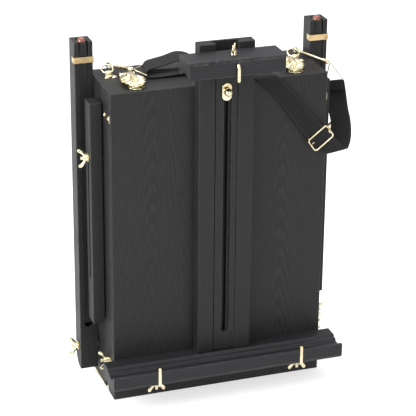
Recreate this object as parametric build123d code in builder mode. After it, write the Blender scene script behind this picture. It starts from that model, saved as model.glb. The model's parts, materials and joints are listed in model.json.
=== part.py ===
from build123d import *
import os

# A French sketch-box easel, folded and standing on its hinge end.
# +X is to the right, +Y to the back (away from the lid) and +Z up.
# The origin is the middle of the base, on the surface that it stands on.

os.makedirs("parts", exist_ok=True)

# ---------------------------------------------------------------- driving dimensions, in millimetres
box_width = 373.0
box_depth = 131.0
box_height = 550.0
lid_depth = 46.0          # the lid's share of the box's depth
wall = 11.0               # solid wood walls
panel = 5.0               # plywood faces

guide_x = 2.5             # middle of the mast guide
guide_width = 95.0
guide_proud = 21.0        # how far the guide stands out of the lid's face
guide_bottom = 77.0
guide_top = 624.0
mast_width = 37.0
slot_width = 9.0
slot_bottom = 110.0
lock_height = 543.0       # the mast's clamping screw

clamp_length = 162.0
clamp_bottom = 584.0
clamp_top = 613.0
clamp_reach = 71.0        # how far the clamp stands out of the lid's face

tray_length = 410.0
tray_reach = 63.0
tray_top = 76.0
tray_bottom = 50.0
hook_spacing = 254.0

leg_width = 31.0
leg_thickness = 32.0
leg_depth = 88.0          # the leg's front face, behind the lid's face
leg_bottom = 20.0
leg_top = 612.0
leg_pivot_height = 60.0
leg_slide_width = 15.0
leg_slide_thickness = 22.0
channel_bottom = 100.0
foot_radius = 7.0

stay_width = 20.0
stay_thickness = 31.0
stay_depth = 42.0
stay_bottom = 129.0
stay_top = 522.0
stay_bolt_height = 425.0
stay_slot_bottom = 208.0

strap_width = 38.0
strap_thick = 2.0

palette_bottom = 276.0
palette_top = box_height - wall + 3.5

bolt_radius = 2.9
bolt_hold = 6.5           # how deep a bolt is screwed into a wall
running = 0.08            # radial clearance round a turning bolt
gap = 0.4                 # clearance between pieces that slide past each other

# ---------------------------------------------------------------- places worked out from them
half_width = box_width / 2
front_y = -box_depth / 2
back_y = box_depth / 2
seam_y = front_y + lid_depth


def depth(behind_lid_face):
    """The Y of a plane that many millimetres behind the lid's front face."""
    return front_y + behind_lid_face


# ---------------------------------------------------------------- small helpers
def slab(x, y, z, mode=Mode.ADD):
    """A block between a low and a high value along each axis."""
    centre = ((x[0] + x[1]) / 2, (y[0] + y[1]) / 2, (z[0] + z[1]) / 2)
    with Locations(centre):
        Box(x[1] - x[0], y[1] - y[0], z[1] - z[0], mode=mode)


def rod(along, cross, radius, ends, mode=Mode.ADD):
    """A cylinder along one axis; cross gives its other two coordinates in X, Y, Z order."""
    middle = (ends[0] + ends[1]) / 2
    places = {"x": (middle, *cross), "y": (cross[0], middle, cross[1]), "z": (*cross, middle)}
    turns = {"x": (0, 90, 0), "y": (90, 0, 0), "z": (0, 0, 0)}
    with Locations(Location(places[along], turns[along])):
        Cylinder(radius, abs(ends[1] - ends[0]), mode=mode)


def write(piece, name):
    """Label a finished piece and write its file."""
    piece.label = name
    export_step(piece, "parts/" + name + ".step")


def wing_nut(seat, out, across):
    """A wing nut whose seat is at a point; out is the bolt's direction and across the wings'."""
    base = Plane(origin=seat, x_dir=across, z_dir=out)
    side = Plane(origin=seat, x_dir=across, z_dir=Vector(across).cross(Vector(out)))
    with BuildPart(base) as nut:
        with BuildSketch(base):
            Circle(5.2)
        extrude(amount=7.5, taper=9)
        with BuildSketch(side):
            with BuildLine():
                Polyline(
                    (2.5, 0.8),
                    (6.5, 1.6),
                    (14.5, 9.0),
                    (15.6, 14.0),
                    (11.6, 16.0),
                    (2.5, 6.6),
                    close=True,
                )
            make_face()
            mirror(about=Plane.YZ)
            fillet(vertices().group_by(Axis.Y)[-1], 1.8)
        extrude(amount=1.2, both=True)
        Cylinder(bolt_radius + running, 40, mode=Mode.SUBTRACT)
    return nut.part


# ================================================================ box body
with BuildPart() as box_frame:
    slab((-half_width, half_width), (seam_y + 0.3, back_y), (0, box_height))
    inner_x = half_width - wall
    slab((-inner_x, inner_x), (seam_y, back_y), (wall, box_height - wall), mode=Mode.SUBTRACT)
    # rebate for the back panel
    ledge_x = half_width - wall / 2
    slab((-ledge_x, ledge_x), (back_y - panel, back_y), (wall / 2, box_height - wall / 2), mode=Mode.SUBTRACT)
    # rebate for the hinges along the base
    slab((-half_width, half_width), (seam_y, seam_y + 9), (0, 9), mode=Mode.SUBTRACT)
    # grooves that hold the palette over the upper half
    groove_y = seam_y + 12
    groove_z = (palette_bottom - 1, box_height - wall + 4)
    slab((-inner_x - 4, inner_x + 4), (groove_y, groove_y + 5), groove_z, mode=Mode.SUBTRACT)
write(box_frame.part, "box_frame")

with BuildPart() as back_panel:
    slab((-ledge_x, ledge_x), (back_y - panel, back_y), (wall / 2, box_height - wall / 2))
write(back_panel.part, "back_panel")

with BuildPart() as palette:
    palette_x = inner_x + 3.5
    palette_face = Plane.XZ.offset(-(groove_y + 0.5))
    with BuildSketch(palette_face):
        with Locations((0, (palette_bottom + palette_top) / 2)):
            RectangleRounded(2 * palette_x, palette_top - palette_bottom, 6)
        with Locations((95, 400)):
            Ellipse(22, 15, mode=Mode.SUBTRACT)
    extrude(amount=-4)
write(palette.part, "palette")

divider_y = (groove_y + 8, back_y - panel)
with BuildPart() as dividers:
    for divider_x in (-60, 60):
        slab((divider_x - 3, divider_x + 3), divider_y, (wall, box_height - wall))
    for shelf_x in ((-inner_x, -63), (63, inner_x)):
        slab(shelf_x, divider_y, (197, 203))
write(dividers.part, "dividers")

# bright metal strips along the base's side edges
with BuildPart() as base_strips:
    for side in (-1, 1):
        strip_x = sorted((side * half_width, side * (half_width + 1.2)))
        slab(strip_x, (seam_y + 0.6, back_y), (0, 4))
write(base_strips.part, "base_strips")

# ================================================================ hinges along the base
hinge_z = 4.5
hinge_radius = 3.2
hinge_pin_radius = 1.5
hinge_places = (-120.0, 120.0)
hinge_half = 26.0

with BuildPart() as hinge_box_leaves:
    for hinge_x in hinge_places:
        for knuckle in ((-hinge_half, -9), (9, hinge_half)):
            span = (hinge_x + knuckle[0], hinge_x + knuckle[1])
            rod("x", (seam_y, hinge_z), hinge_radius, span)
            slab(span, (seam_y, seam_y + 9), (hinge_z - 0.8, hinge_z + 0.8))
            slab(span, (seam_y + 7.6, seam_y + 9), (0.6, 8.9))
        rod("x", (seam_y, hinge_z), hinge_pin_radius, (hinge_x - hinge_half, hinge_x + hinge_half))
write(hinge_box_leaves.part, "hinge_box_leaves")

with BuildPart() as hinge_lid_leaves:
    for hinge_x in hinge_places:
        span = (hinge_x - 8.6, hinge_x + 8.6)
        rod("x", (seam_y, hinge_z), hinge_radius, span)
        slab(span, (seam_y - 9, seam_y), (hinge_z - 0.8, hinge_z + 0.8))
        slab(span, (seam_y - 9, seam_y - 7.6), (0.6, 8.9))
        rod("x", (seam_y, hinge_z), hinge_pin_radius + running, span, mode=Mode.SUBTRACT)
write(hinge_lid_leaves.part, "hinge_lid_leaves")

# ================================================================ lid
lid_back = seam_y - 0.3
with BuildPart() as lid_frame:
    slab((-half_width, half_width), (front_y + panel, lid_back), (0, box_height))
    slab((-inner_x, inner_x), (front_y + panel, lid_back), (wall, box_height - wall), mode=Mode.SUBTRACT)
    slab((-half_width, half_width), (seam_y - 9, lid_back), (0, 9), mode=Mode.SUBTRACT)
    # a saw line down both sides, behind the face
    for side in (-1, 1):
        line_x = sorted((side * half_width, side * (half_width - 1.2)))
        slab(line_x, (depth(13.5), depth(15)), (0, box_height), mode=Mode.SUBTRACT)
write(lid_frame.part, "lid_frame")

with BuildPart() as lid_panel:
    slab((-half_width, half_width), (front_y, front_y + panel), (0, box_height))
    chamfer(faces().sort_by(Axis.Y)[0].edges(), 1.2)
write(lid_panel.part, "lid_panel")

# ================================================================ mast guide on the lid's face
guide_left = guide_x - guide_width / 2
guide_right = guide_x + guide_width / 2
mast_left = guide_x - mast_width / 2
mast_right = guide_x + mast_width / 2
board_y = depth(-5)
rail_face = depth(-guide_proud)

with BuildPart() as guide_board:
    slab((guide_left, guide_right), (board_y, front_y), (guide_bottom, guide_top))
    rod("y", (guide_x, lock_height), bolt_radius + running, (board_y, front_y), mode=Mode.SUBTRACT)
write(guide_board.part, "guide_board")

tongue = 4.0
tongue_y = (depth(-12), depth(-8))
with BuildPart() as guide_rails:
    for inner, outer in ((mast_left - gap, guide_left), (mast_right + gap, guide_right)):
        slab(sorted((inner, outer)), (rail_face, board_y), (guide_bottom, guide_top))
    chamfer(faces().filter_by(Axis.Y).sort_by(Axis.Y)[:2].edges().filter_by(Axis.Z), 1.2)
    for edge, side in ((mast_left - gap, -1), (mast_right + gap, 1)):
        slab(
            sorted((edge, edge + side * (tongue + gap))),
            (tongue_y[0] - gap, tongue_y[1] + gap),
            (guide_bottom, guide_top),
            mode=Mode.SUBTRACT,
        )
write(guide_rails.part, "guide_rails")

# ================================================================ mast and its clamp
mast_face = depth(-20)
mast_back = board_y - gap
mast_bottom = 79.0
mast_top = 604.0
slot_top = lock_height + slot_width / 2

with BuildPart() as mast:
    slab((mast_left + gap, mast_right - gap), (mast_face, mast_back), (mast_bottom, mast_top))
    slab((mast_left - tongue, mast_right + tongue), tongue_y, (mast_bottom, mast_top))
    slot_middle = (slot_bottom + slot_top) / 2
    slot_length = slot_top - slot_bottom
    with BuildSketch(Plane.XZ.offset(-mast_back)):
        with Locations((guide_x, slot_middle)):
            SlotOverall(slot_length, slot_width, rotation=90)
    extrude(amount=40, mode=Mode.SUBTRACT)
    # the slot's wider front step
    with BuildSketch(Plane.XZ.offset(-mast_face)):
        with Locations((guide_x + 2, slot_middle)):
            SlotOverall(slot_length, slot_width + 4, rotation=90)
    extrude(amount=-5, mode=Mode.SUBTRACT)
write(mast.part, "mast")

clamp_face = depth(-clamp_reach)
clamp_back = rail_face - gap
clamp_left = guide_x - clamp_length / 2
clamp_right = guide_x + clamp_length / 2
hook_arm_height = 603.0

with BuildPart() as clamp_bar:
    with BuildSketch(Plane.YZ.offset(clamp_left)):
        with BuildLine():
            Polyline(
                (clamp_face, clamp_bottom),
                (clamp_face, clamp_top),
                (clamp_back, clamp_top),
                (clamp_back, clamp_bottom),
                (depth(-31), clamp_bottom),
                (depth(-38), clamp_bottom + 6),
                (depth(-60), clamp_bottom + 6),
                (depth(-64), clamp_bottom),
                close=True,
            )
        make_face()
    extrude(amount=clamp_length)
    chamfer(edges().filter_by(Axis.X).group_by(Axis.Z)[-1], 1.0)
    # a scratch line under the top front edge
    scratch_z = (clamp_top - 5, clamp_top - 4)
    slab((clamp_left, clamp_right), (clamp_face, clamp_face + 1), scratch_z, mode=Mode.SUBTRACT)
    # the pad that meets the mast
    slab((guide_x - 14, guide_x + 14), (clamp_back, mast_face), (clamp_bottom + 1, mast_top - 1))
    # the hook arm's way through the front
    slab(
        (guide_x - 3.4, guide_x + 3.4),
        (clamp_face, depth(-36)),
        (hook_arm_height - 2.4, hook_arm_height + 2.4),
        mode=Mode.SUBTRACT,
    )
write(clamp_bar.part, "clamp_bar")

clamp_stud_y = depth(-50)
with BuildPart() as clamp_stud:
    rod("z", (guide_x, clamp_stud_y), bolt_radius, (hook_arm_height + 2.4, clamp_top + 16))
write(clamp_stud.part, "clamp_stud")

with BuildPart() as mast_lock_plate:
    with BuildSketch(Plane.XZ.offset(-(mast_face - 0.2))):
        with Locations((guide_x, lock_height - 1)):
            SlotOverall(30, 16.5, rotation=90)
        with Locations((guide_x, lock_height)):
            Circle(bolt_radius + running, mode=Mode.SUBTRACT)
    extrude(amount=1.8)
    fillet(faces().sort_by(Axis.Y)[0].outer_wire().edges(), 0.8)
write(mast_lock_plate.part, "mast_lock_plate")

with BuildPart() as mast_lock_knob:
    rod("y", (guide_x, lock_height), bolt_radius, (mast_face - 6, front_y + panel))
    with Locations((guide_x, mast_face - 8, lock_height + 1)):
        Sphere(6.8)
    rod("y", (guide_x, lock_height), 4.2, (mast_face - 5, mast_face - 2.1))
write(mast_lock_knob.part, "mast_lock_knob")


def hook_blank(x, arm, tip, width):
    """A flat L-shaped hook: arm is its (back y, face y, z) and tip its free end's z."""
    back, face, level = arm
    thick = 4.0
    up = 1 if tip > level else -1
    with BuildPart() as blank:
        with BuildSketch(Plane.YZ.offset(x - width / 2)):
            with BuildLine():
                Polyline(
                    (back, level - up * thick / 2),
                    (face, level - up * thick / 2),
                    (face, tip),
                    (face + thick, tip),
                    (face + thick, level + up * thick / 2),
                    (back, level + up * thick / 2),
                    close=True,
                )
            make_face()
        extrude(amount=width)
    return blank.part


with BuildPart() as upper_hook:
    add(hook_blank(guide_x, (depth(-38), clamp_face - 6.5, hook_arm_height), 574.5, 5.4))
    fillet(edges().filter_by(Axis.X).group_by(Axis.Z)[0], 1.6)
    fillet(edges().filter_by(Axis.X).group_by(Axis.Z)[-1].sort_by(Axis.Y)[0], 2.4)
write(upper_hook.part, "upper_hook")
write(wing_nut((guide_x, clamp_stud_y, clamp_top + 0.1), (0, 0, 1), (0.5, 0.866, 0)), "clamp_nut")

# ================================================================ canvas tray
tray_half = tray_length / 2
tray_face = depth(-tray_reach)
hook_places = {"left": guide_x - hook_spacing / 2, "right": guide_x + hook_spacing / 2}
tray_stud_y = depth(-42)

with BuildPart() as tray:
    with BuildSketch(Plane.YZ.offset(-tray_half)):
        with BuildLine():
            Polyline(
                (front_y, tray_bottom + 2),
                (front_y, tray_top),
                (depth(-24), tray_top),
                (depth(-27), tray_top - 3.5),
                (depth(-33), tray_top - 4.5),
                (depth(-35), tray_top - 8.5),
                (depth(-53), tray_top - 8.5),
                (depth(-56), tray_top - 1.5),
                (tray_face + 2, tray_top),
                (tray_face, tray_top - 2),
                (tray_face, tray_bottom + 5),
                (tray_face + 2.5, tray_bottom),
                (depth(-30), tray_bottom),
                (depth(-26), tray_bottom + 2),
                close=True,
            )
        make_face()
    extrude(amount=tray_length)
    for hook_x in hook_places.values():
        slab(
            (hook_x - 3.6, hook_x + 3.6),
            (tray_face, tray_face + 4.6),
            (tray_bottom, tray_top),
            mode=Mode.SUBTRACT,
        )
write(tray.part, "tray")

with BuildPart() as tray_studs:
    for hook_x in hook_places.values():
        rod("z", (hook_x, tray_stud_y), bolt_radius, (tray_bottom - 17, tray_bottom))
write(tray_studs.part, "tray_studs")

for hook_name, hook_x in hook_places.items():
    with BuildPart() as tray_hook:
        arm_level = tray_bottom - 2.2
        add(hook_blank(hook_x, (depth(-34), tray_face - 0.6, arm_level), tray_top + 7, 5.6))
        fillet(edges().filter_by(Axis.X).group_by(Axis.Z)[-1], 1.6)
        slab((hook_x - 6, hook_x + 6), (depth(-57), depth(-34)), (arm_level - 2, arm_level + 2))
        with BuildSketch(Plane.XY.offset(arm_level - 3)):
            with Locations((hook_x, tray_stud_y - 1.5 + 4.5)):
                SlotOverall(16, 2 * bolt_radius + 1, rotation=90)
        extrude(amount=6, mode=Mode.SUBTRACT)
    write(tray_hook.part, "tray_hook_" + hook_name)
    nut_seat = (hook_x, tray_stud_y, arm_level - 2.2)
    write(wing_nut(nut_seat, (0, 0, -1), (1, 0, 0)), "tray_nut_" + hook_name)

# brass straps that tie the tray's ends to the lid's sides
with BuildPart() as tray_straps:
    for side in (-1, 1):
        strap_x = sorted((side * half_width, side * (half_width + 1.5)))
        slab(strap_x, (depth(4), depth(40)), (58, 70))
        slab(strap_x, (depth(-12), depth(8)), (61, 67))
        slab(sorted((side * half_width, side * (half_width + 4))), (depth(-12), front_y), (61, 67))
    for side in (-1, 1):
        outer_x = sorted((side * (half_width + 1.5), side * (half_width + 4)))
        slab(outer_x, (depth(-12), front_y), (61, 67), mode=Mode.SUBTRACT)
    slab((-half_width - 5, half_width + 5), (depth(-20), front_y), (50, 70), mode=Mode.SUBTRACT)
write(tray_straps.part, "tray_straps")

with BuildPart() as tray_strap_bolts:
    for side in (-1, 1):
        bolt_ends = sorted((side * (half_width - bolt_hold), side * (half_width + 15)))
        rod("x", (depth(30), 64), bolt_radius, bolt_ends)
        add(wing_nut((side * (half_width + 1.7), depth(30), 64), (side, 0, 0), (0, 0.35, 0.94)))
write(tray_strap_bolts.part, "tray_strap_bolts")

# ================================================================ side stays
stay_inner = half_width + 2.5
stay_outer = stay_inner + stay_width
stay_middle_y = depth(stay_depth + stay_thickness / 2)

with BuildPart() as stay_brackets:
    for side in (-1, 1):
        plate_x = sorted((side * half_width, side * (half_width + 1.4)))
        slab(plate_x, (depth(4), depth(36)), (500, 513))
        for screw_y in (depth(9), depth(31)):
            rod("x", (screw_y, 506.5), 3.2, sorted((side * half_width, side * (half_width + 2.2))))
write(stay_brackets.part, "stay_brackets")


def make_stay(side):
    """One slotted stay; side is -1 on the left and 1 on the right."""
    with BuildPart() as stay:
        slab(
            sorted((side * stay_inner, side * stay_outer)),
            (depth(stay_depth), depth(stay_depth + stay_thickness)),
            (stay_bottom, stay_top),
        )
        fillet(edges().filter_by(Axis.Y).group_by(Axis.Z)[0].sort_by(Axis.X)[0 if side > 0 else -1], 9)
        chamfer(edges().filter_by(Axis.Z), 0.8)
        slot_high = stay_bolt_height + bolt_radius + 0.3
        with BuildSketch(Plane.YZ.offset(side * stay_inner)):
            with Locations((stay_middle_y, (stay_slot_bottom + slot_high) / 2)):
                SlotOverall(slot_high - stay_slot_bottom, 2 * bolt_radius + 0.8, rotation=90)
        extrude(amount=side * 30, mode=Mode.SUBTRACT)
    return stay.part


for side_name, side in (("left", -1), ("right", 1)):
    write(make_stay(side), "stay_" + side_name)
    seat = (side * (stay_outer + 1.4), stay_middle_y, stay_bolt_height)
    write(wing_nut(seat, (side, 0, 0), (0, 0, 1)), "stay_nut_" + side_name)

# ================================================================ legs
leg_inner = half_width + 3.0
leg_outer = leg_inner + leg_width
leg_middle = (leg_inner + leg_outer) / 2
leg_front_y = depth(leg_depth)
leg_back_y = leg_front_y + leg_thickness
leg_pivot_y = (leg_front_y + leg_back_y) / 2
channel_back = leg_front_y + leg_slide_thickness + 1.5 + gap


def make_leg(side):
    """The fixed half of a front leg, with its channel and its pivot hole."""
    with BuildPart() as leg:
        slab(sorted((side * leg_inner, side * leg_outer)), (leg_front_y, leg_back_y), (leg_bottom, leg_top))
        fillet(edges().filter_by(Axis.X).group_by(Axis.Z)[0].sort_by(Axis.Y)[-1], 27)
        fillet(edges().filter_by(Axis.X).group_by(Axis.Z)[0].sort_by(Axis.Y)[0], 3.5)
        chamfer(edges().filter_by(Axis.Z), 0.8)
        half_channel = leg_slide_width / 2 + gap
        slab(
            (side * leg_middle - half_channel, side * leg_middle + half_channel),
            (leg_front_y, channel_back),
            (channel_bottom + half_channel, leg_top),
            mode=Mode.SUBTRACT,
        )
        rod(
            "y",
            (side * leg_middle, channel_bottom + half_channel),
            half_channel,
            (leg_front_y, channel_back),
            mode=Mode.SUBTRACT,
        )
        rod(
            "x",
            (leg_pivot_y, leg_pivot_height),
            bolt_radius + running,
            sorted((side * leg_inner, side * leg_outer)),
            mode=Mode.SUBTRACT,
        )
    return leg.part


def make_slide(middle_x, front, low, high, tip_up=True):
    """The half of a leg that slides in the channel, narrower towards its foot."""
    with BuildPart() as slide:
        half = leg_slide_width / 2
        taper = 30
        foot_end, other_end = (high, low) if tip_up else (low, high)
        step = -taper if tip_up else taper
        with BuildSketch(Plane.XZ.offset(-(front + 1.5))):
            with BuildLine():
                Polyline(
                    (middle_x - half, other_end),
                    (middle_x - half, foot_end + step),
                    (middle_x - half + 2, foot_end),
                    (middle_x + half - 2, foot_end),
                    (middle_x + half, foot_end + step),
                    (middle_x + half, other_end),
                    close=True,
                )
            make_face()
        extrude(amount=-leg_slide_thickness)
    return slide.part


def make_foot(middle_x, middle_y, level, tip_up=True):
    """A rubber dome on the end of a leg."""
    with BuildPart() as foot:
        with Locations((middle_x, middle_y, level)):
            Sphere(foot_radius)
        keep = (level, level + 20) if tip_up else (level - 20, level)
        slab((middle_x - 20, middle_x + 20), (middle_y - 20, middle_y + 20), keep, mode=Mode.INTERSECT)
    return foot.part


def make_band(side):
    """The brass strap round the channel's mouth."""
    with BuildPart() as band:
        outer = sorted((side * (leg_inner - 1.2), side * (leg_outer + 1.2)))
        inner = sorted((side * leg_inner, side * leg_outer))
        slab(outer, (leg_front_y - 1.2, leg_front_y + 12), (577, 587))
        slab(inner, (leg_front_y, leg_front_y + 12), (577, 587), mode=Mode.SUBTRACT)
        for screw_side in (leg_inner - 1.2, leg_outer + 1.2):
            head = 0.8 if screw_side > leg_middle else -0.8
            reach = sorted((side * screw_side, side * (screw_side + head)))
            rod("x", (leg_front_y + 7, 582), 2.2, reach)
    return band.part


for side_name, side in (("left", -1), ("right", 1)):
    write(make_leg(side), "leg_" + side_name)
    slide_low = channel_bottom + 8 + gap
    write(make_slide(side * leg_middle, leg_front_y, slide_low, leg_top - 2), "leg_slide_" + side_name)
    slide_middle_y = leg_front_y + 1.5 + leg_slide_thickness / 2
    write(make_foot(side * leg_middle, slide_middle_y, leg_top - 2), "foot_" + side_name)
    write(make_band(side), "leg_band_" + side_name)
    seat = (side * (leg_outer + 1.6), leg_pivot_y, leg_pivot_height)
    write(wing_nut(seat, (side, 0, 0), (0, 0, 1)), "leg_nut_" + side_name)

# ---------------------------------------------------------------- rear leg, folded down the box's back
rear_width = 31.0
rear_front = back_y + 5.0
rear_thickness = 30.0
rear_back = rear_front + rear_thickness
rear_top = 528.0
rear_bottom = 34.0
rear_pivot_y = rear_front + rear_thickness / 2
rear_pivot_z = rear_top - rear_thickness / 2
rear_channel_top = 440.0
rear_channel_front = rear_back - leg_slide_thickness - 1.5 - gap

with BuildPart() as leg_rear:
    slab((-rear_width / 2, rear_width / 2), (rear_front, rear_back), (rear_bottom, rear_top))
    fillet(edges().filter_by(Axis.X).group_by(Axis.Z)[-1], rear_thickness / 2 - 0.1)
    half_channel = leg_slide_width / 2 + gap
    slab(
        (-half_channel, half_channel),
        (rear_channel_front, rear_back),
        (rear_bottom, rear_channel_top),
        mode=Mode.SUBTRACT,
    )
    rod("y", (0, rear_channel_top), half_channel, (rear_channel_front, rear_back), mode=Mode.SUBTRACT)
    rod(
        "x",
        (rear_pivot_y, rear_pivot_z),
        bolt_radius + running,
        (-rear_width / 2, rear_width / 2),
        mode=Mode.SUBTRACT,
    )
write(leg_rear.part, "leg_rear")

rear_slide_y = rear_back - 1.5 - leg_slide_thickness
rear_slide = make_slide(0, rear_slide_y - 1.5, rear_bottom + 2, rear_channel_top - gap, tip_up=False)
write(rear_slide, "leg_slide_rear")
write(make_foot(0, rear_slide_y + leg_slide_thickness / 2, rear_bottom + 2, tip_up=False), "foot_rear")

with BuildPart() as leg_band_rear:
    slab((-rear_width / 2 - 1.2, rear_width / 2 + 1.2), (rear_back - 12, rear_back + 1.2), (58, 68))
    slab((-rear_width / 2, rear_width / 2), (rear_back - 12, rear_back), (58, 68), mode=Mode.SUBTRACT)
write(leg_band_rear.part, "leg_band_rear")

with BuildPart() as rear_bracket:
    for side in (-1, 1):
        cheek_x = sorted((side * (rear_width / 2 + 1), side * (rear_width / 2 + 13)))
        slab(cheek_x, (back_y, rear_back - 4), (rear_pivot_z - 24, rear_pivot_z + 12))
    fillet(edges().filter_by(Axis.X).group_by(Axis.Y)[-1], 6)
    hole_ends = (-rear_width / 2 - 13, rear_width / 2 + 13)
    rod("x", (rear_pivot_y, rear_pivot_z), bolt_radius + running, hole_ends, mode=Mode.SUBTRACT)
write(rear_bracket.part, "rear_bracket")
rear_seat = (rear_width / 2 + 13.2, rear_pivot_y, rear_pivot_z)
write(wing_nut(rear_seat, (1, 0, 0), (0, 0, 1)), "leg_nut_rear")

# ---------------------------------------------------------------- pivot bolts and their washers
with BuildPart() as pivot_bolts:
    for side in (-1, 1):
        leg_ends = sorted((side * (half_width - bolt_hold), side * (leg_outer + 13)))
        rod("x", (leg_pivot_y, leg_pivot_height), bolt_radius, leg_ends)
        stay_ends = sorted((side * (half_width - bolt_hold), side * (stay_outer + 12)))
        rod("x", (stay_middle_y, stay_bolt_height), bolt_radius, stay_ends)
    rod("x", (rear_pivot_y, rear_pivot_z), bolt_radius, (-rear_width / 2 - 16, rear_width / 2 + 26))
    rod("x", (rear_pivot_y, rear_pivot_z), 5.5, (-rear_width / 2 - 17, -rear_width / 2 - 13.1))
write(pivot_bolts.part, "pivot_bolts")

with BuildPart() as pivot_washers:
    for side in (-1, 1):
        for centre, face, thick, radius in (
            ((leg_pivot_y, leg_pivot_height), half_width, 2.7, 9.5),
            ((leg_pivot_y, leg_pivot_height), leg_outer + 0.1, 1.3, 7.5),
            ((stay_middle_y, stay_bolt_height), stay_outer + 0.1, 1.2, 7.5),
            ((stay_middle_y, stay_bolt_height), half_width, 2.2, 7.5),
        ):
            ends = sorted((side * face, side * (face + thick)))
            rod("x", centre, radius, ends)
            rod("x", centre, bolt_radius + 0.02, ends, mode=Mode.SUBTRACT)
write(pivot_washers.part, "pivot_washers")

# ================================================================ latches over the seam on the top
latch_places = {"left": -137.0, "right": 137.0}
latch_pivot_y = depth(74)
latch_pivot_z = box_height + 5

with BuildPart() as latch_plates:
    for latch_x in latch_places.values():
        slab((latch_x - 13, latch_x + 13), (depth(52), depth(82)), (box_height, box_height + 1.4))
        for ear in (-11.4, 11.4):
            slab(
                (latch_x + ear - 1, latch_x + ear + 1),
                (latch_pivot_y - 4, latch_pivot_y + 4),
                (box_height + 1.4, latch_pivot_z + 3.5),
            )
        rod("x", (latch_pivot_y, latch_pivot_z), 1.5, (latch_x - 12.4, latch_x + 12.4))
write(latch_plates.part, "latch_plates")

with BuildPart() as latch_keepers:
    for latch_x in latch_places.values():
        slab((latch_x - 13, latch_x + 13), (depth(10), depth(34)), (box_height, box_height + 1.4))
        slab((latch_x - 8, latch_x + 8), (depth(16), depth(20)), (box_height + 1.4, box_height + 4.4))
write(latch_keepers.part, "latch_keepers")

for latch_name, latch_x in latch_places.items():
    with BuildPart() as latch:
        lever_x = (latch_x - 10, latch_x + 10)
        bail_z = (latch_pivot_z, latch_pivot_z + 2)
        rod("x", (latch_pivot_y, latch_pivot_z), 3.2, lever_x)
        slab(lever_x, (depth(40), latch_pivot_y), (latch_pivot_z - 0.6, latch_pivot_z + 2.6))
        rod("x", (latch_pivot_y, latch_pivot_z), 1.5 + running, lever_x, mode=Mode.SUBTRACT)
        for bail in (latch_x - 10.5, latch_x + 10.5):
            slab((bail - 1, bail + 1), (depth(11), depth(50)), bail_z)
        slab((latch_x - 11.5, latch_x + 11.5), (depth(11), depth(13)), bail_z)
    write(latch.part, "latch_" + latch_name)

# ================================================================ strap rings, hooks and strap
ring_places = {-1: (-162.0, depth(88)), 1: (161.0, depth(76))}

with BuildPart() as ring_plates:
    for ring_x, plate_y in ring_places.values():
        with BuildSketch(Plane.XY.offset(box_height)):
            with Locations((ring_x, plate_y)):
                Circle(6.5)
            with Locations((ring_x - 6, plate_y - 6), (ring_x + 6, plate_y - 6)):
                Circle(4.5)
            with Locations((ring_x, plate_y + 4)):
                Rectangle(11, 10)
        extrude(amount=1.5)
        rod("x", (plate_y + 7, box_height + 3.6), 3.4, (ring_x - 5.5, ring_x + 5.5))
        rod("x", (plate_y + 7, box_height + 3.6), 1.7, (ring_x - 6, ring_x + 6), mode=Mode.SUBTRACT)
write(ring_plates.part, "ring_plates")

ring_wire = 1.5
ring_radius = 10.0
with BuildPart() as strap_rings:
    for ring_x, plate_y in ring_places.values():
        with Locations(Location((ring_x, plate_y + 15.6, box_height + 7.3), (24, 0, 0))):
            Torus(ring_radius, ring_wire)
write(strap_rings.part, "strap_rings")

# each snap hook is a bar from a ring to the wire loop that holds the strap's end
hook_runs = {
    -1: ((-152.0, depth(113), 559.0), (-124.0, depth(79), 561.0)),
    1: ((169.5, depth(90), 560.5), (212.0, depth(66), 546.5)),
}
strap_right_x = 232.0
strap_front_y = depth(-7)
strap_fold_z = 412.0
loop_wire = 1.4
loop_ends = {
    -1: ((-109.0, depth(54), 557.0), (-101.0, depth(94), 563.0)),
    1: ((strap_right_x, depth(60), 517.0), (strap_right_x, depth(98), 517.0)),
}
with BuildPart() as snap_hooks:
    for side, (start, point) in hook_runs.items():
        run = Vector(*point) - Vector(*start)
        with BuildSketch(Plane(origin=start, z_dir=run)):
            Circle(2.6)
        extrude(amount=run.length)
        first, second = loop_ends[side]
        for low, high in ((point, first), (first, second), (second, point)):
            run = Vector(*high) - Vector(*low)
            with BuildSketch(Plane(origin=low, z_dir=run)):
                Circle(loop_wire)
            extrude(amount=run.length)
            with Locations(low):
                Sphere(loop_wire)
write(snap_hooks.part, "snap_hooks")

# the strap lies on the top of the box, behind the seam
strap_level = (box_height + 1, box_height + 1 + strap_thick)
with BuildPart() as strap_top:
    slab((-98, 68), (depth(51), depth(51 + strap_width)), strap_level)
write(strap_top.part, "strap_top")

# then over the lid's top edge, slanting down its face, and up again outside the right stay
with BuildPart() as strap_front:
    slab((guide_right + 2, 104), (strap_front_y, depth(50)), strap_level)
    with BuildSketch(Plane.XZ.offset(-strap_front_y)):
        with BuildLine():
            Polyline(
                (60, strap_level[1]),
                (104, strap_level[1]),
                (strap_right_x, 446),
                (strap_right_x, strap_fold_z),
                (175, strap_fold_z),
                (140, 455),
                close=True,
            )
        make_face()
    extrude(amount=-strap_thick)
    with BuildSketch(Plane.YZ.offset(strap_right_x)):
        with BuildLine():
            Polyline(
                (strap_front_y, strap_fold_z),
                (strap_front_y, 446),
                (depth(60), 514),
                (depth(98), 514),
                (depth(60), strap_fold_z + 20),
                close=True,
            )
        make_face()
    extrude(amount=strap_thick)
write(strap_front.part, "strap_front")

with BuildPart() as strap_buckle:
    with BuildSketch(Plane.XZ.offset(-(strap_front_y - 2))):
        with Locations((160, 450)):
            RectangleRounded(46, 27, 5, rotation=33)
            RectangleRounded(39, 20, 3, rotation=33, mode=Mode.SUBTRACT)
            Rectangle(3, 22, rotation=-57 + 90)
    extrude(amount=3)
write(strap_buckle.part, "strap_buckle")
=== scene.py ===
import json
import math

import bpy
from mathutils import Matrix, Vector


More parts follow.
